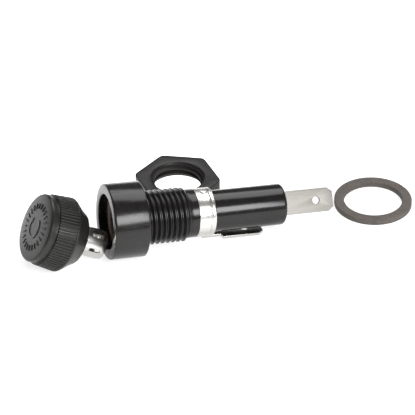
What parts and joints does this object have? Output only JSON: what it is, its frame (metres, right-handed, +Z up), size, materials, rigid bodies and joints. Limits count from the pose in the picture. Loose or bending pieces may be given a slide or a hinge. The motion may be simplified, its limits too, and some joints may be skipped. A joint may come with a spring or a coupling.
{
  "type": "cartridge fuse holder",
  "caption": "Panel-mount cartridge fuse holder with a threaded body, knurled bayonet knob, hex nut and gasket laid out as a kit.",
  "frame": {"origin": "under the middle of the kit's box, on the surface that the pieces lie on", "axes": "+X along the holder from the knob to the rear blade, +Y away to the nut's side, +Z up"},
  "size_m": [0.1082, 0.0454, 0.0207],
  "materials": {
    "black_gloss": "glossy moulded phenolic",
    "fibre_black": "matt pressed fibre",
    "knob_satin": "satin moulded phenolic",
    "nut_black": "matt moulded plastic",
    "gasket_rubber": "dull brown-grey rubber",
    "tin_plate": "bright tin plate",
    "tin_matte": "dull tin plate",
    "brass_plain": "plain brass",
    "spring_steel": "drawn wire"
  },
  "bodies": {
    "holder": {"front_housing": "black_gloss", "lock_ring": "tin_plate", "contact_sleeve": "tin_plate", "side_terminal": "tin_plate", "link_rivet": "tin_plate", "rear_tube": "black_gloss", "end_plug": "fibre_black", "rear_blade": "tin_matte", "rear_spring_seat": "brass_plain", "rear_spring": "spring_steel"},
    "rear_contact": {"rear_contact": "brass_plain"},
    "knob_core": {"spring_washer": "tin_plate", "knob_spring": "spring_steel"},
    "knob": {"knob_cap": "knob_satin", "knob_face": "knob_satin", "knob_shell": "tin_plate", "shell_rivet": "brass_plain"},
    "plunger": {"knob_plunger": "brass_plain"},
    "nut": {"panel_nut": "nut_black"},
    "gasket": {"panel_gasket": "gasket_rubber"}
  },
  "joints": [
    {"name": "rear_contact_push", "type": "slide", "parent": "holder", "child": "rear_contact", "axis": [0.9965, 0, -0.0835], "range_m": [0, 0.003], "stiffness_N_per_m": 900, "springref_m": -0.002, "deforming": ["rear_spring"]},
    {"name": "knob_draw", "type": "slide", "parent": "holder", "child": "knob_core", "axis": [-0.6, -0.8, 0], "range_m": [0, 0.035]},
    {"name": "knob_turn", "type": "hinge", "parent": "knob_core", "child": "knob", "pos_m": [-0.05023, -0.01208, 0.01245], "axis": [0.8829, 0, -0.4695], "range_deg": [-45, 45]},
    {"name": "knob_push", "type": "slide", "parent": "knob", "child": "plunger", "axis": [-0.8829, 0, 0.4695], "range_m": [0, 0.0025], "stiffness_N_per_m": 900, "springref_m": -0.002, "deforming": ["knob_spring"]},
    {"name": "nut_turn", "type": "hinge", "parent": "holder", "child": "nut", "pos_m": [-0.00509, 0.01112, 0], "axis": [0, 0, 1], "continuous": true},
    {"name": "gasket_slide", "type": "slide", "parent": "holder", "child": "gasket", "axis": [1, 0, 0], "range_m": [0, 0.02]}
  ]
}
